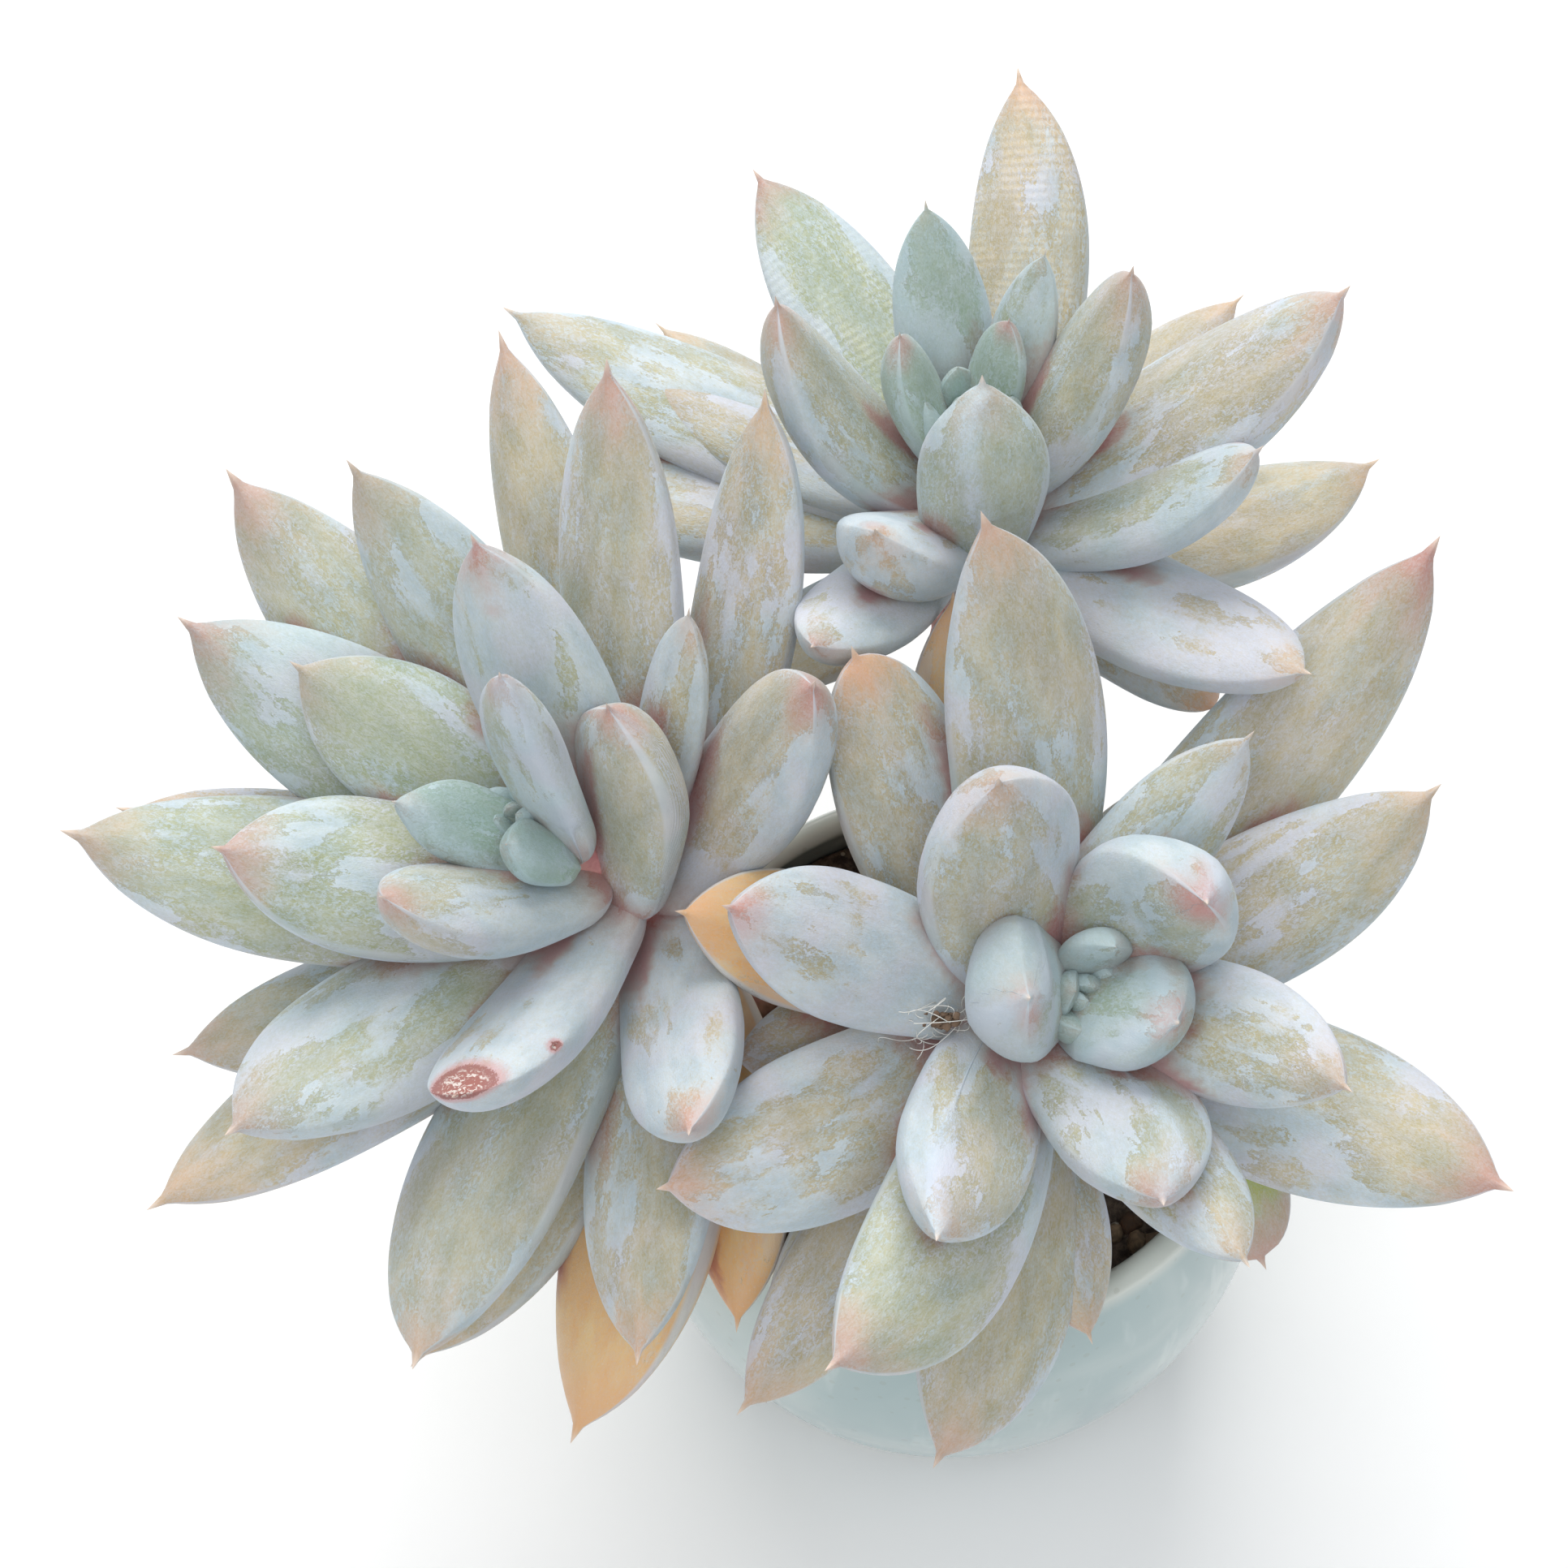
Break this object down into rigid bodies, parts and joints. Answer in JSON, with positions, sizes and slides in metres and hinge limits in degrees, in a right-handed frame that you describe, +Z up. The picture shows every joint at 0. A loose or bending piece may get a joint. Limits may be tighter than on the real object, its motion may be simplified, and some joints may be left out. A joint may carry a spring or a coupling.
{
  "type": "potted snow vampire echeveria",
  "caption": "Frosted blue-green succulent with three rosettes of fat pointed leaves on short stems, standing in a round glazed pot.",
  "frame": {"origin": "centre of the pot's flat foot, on the surface it stands on", "axes": "+Z up, -Y toward the side seen first, +X to the right of that view"},
  "size_m": [0.1515, 0.1474, 0.1363],
  "materials": {
    "pot_glaze": "smooth pale celadon glaze",
    "potting_mix": null,
    "stem": null,
    "leaf": null
  },
  "bodies": {
    "root": {"pot": "pot_glaze", "soil": "potting_mix", "stem_left": "stem", "stem_back": "stem", "stem_right": "stem", "rosette_left": "leaf", "rosette_back": "leaf", "rosette_right": "leaf"}
  },
  "joints": []
}
